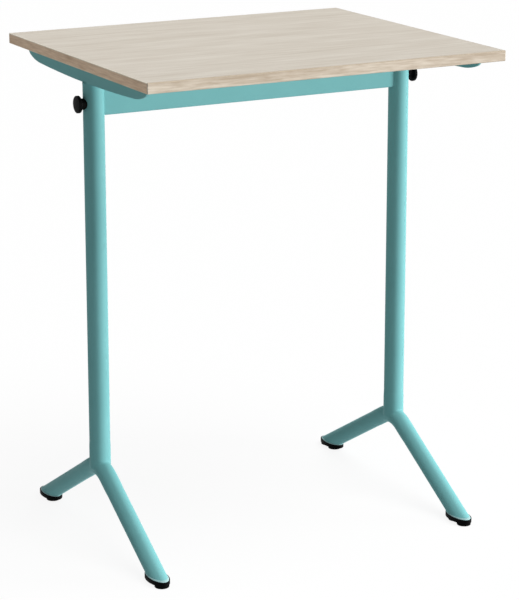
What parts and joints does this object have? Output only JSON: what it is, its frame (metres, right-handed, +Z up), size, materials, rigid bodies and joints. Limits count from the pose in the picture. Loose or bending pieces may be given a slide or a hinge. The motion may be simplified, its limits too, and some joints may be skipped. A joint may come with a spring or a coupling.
{
  "type": "standing desk",
  "caption": "Standing-height single desk: a flat laminated board on round steel uprights with splayed leg bows, a cross rail, side bag hooks and oval glide feet.",
  "frame": {"origin": "on the floor, under the middle of the board", "axes": "+X to the right for a person who stands at the front, +Y to the back, +Z up"},
  "size_m": [0.7, 0.6, 0.9],
  "materials": {
    "particle_board": "raw particle board, covered on every side",
    "oak_laminate": "matt laminate with a pale whitened-oak print, grain from left to right",
    "oak_edge_band": "matt edge band with the same oak print",
    "frame_paint": "satin turquoise powder coat",
    "plated_steel": "zinc plated",
    "black_plastic": "moulded black nylon, fine texture",
    "glide_pad": "black hard rubber"
  },
  "bodies": {
    "root": {"board_core": "particle_board", "top_laminate": "oak_laminate", "bottom_laminate": "oak_laminate", "front_edge_band": "oak_edge_band", "rear_edge_band": "oak_edge_band", "left_edge_band": "oak_edge_band", "right_edge_band": "oak_edge_band", "cross_rail": "frame_paint", "left_bearer": "frame_paint", "right_bearer": "frame_paint", "left_upright": "frame_paint", "right_upright": "frame_paint", "left_leg_bow": "frame_paint", "right_leg_bow": "frame_paint", "left_board_screws": "plated_steel", "right_board_screws": "plated_steel", "left_rail_insert": "plated_steel", "right_rail_insert": "plated_steel", "left_hook_stud": "plated_steel", "right_hook_stud": "plated_steel", "left_bag_hook": "black_plastic", "right_bag_hook": "black_plastic", "front_left_foot_cap": "black_plastic", "front_right_foot_cap": "black_plastic", "rear_left_foot_cap": "black_plastic", "rear_right_foot_cap": "black_plastic", "front_left_toe_pad": "glide_pad", "front_left_heel_pad": "glide_pad", "front_right_toe_pad": "glide_pad", "front_right_heel_pad": "glide_pad", "rear_left_toe_pad": "glide_pad", "rear_left_heel_pad": "glide_pad", "rear_right_toe_pad": "glide_pad", "rear_right_heel_pad": "glide_pad"}
  },
  "joints": []
}
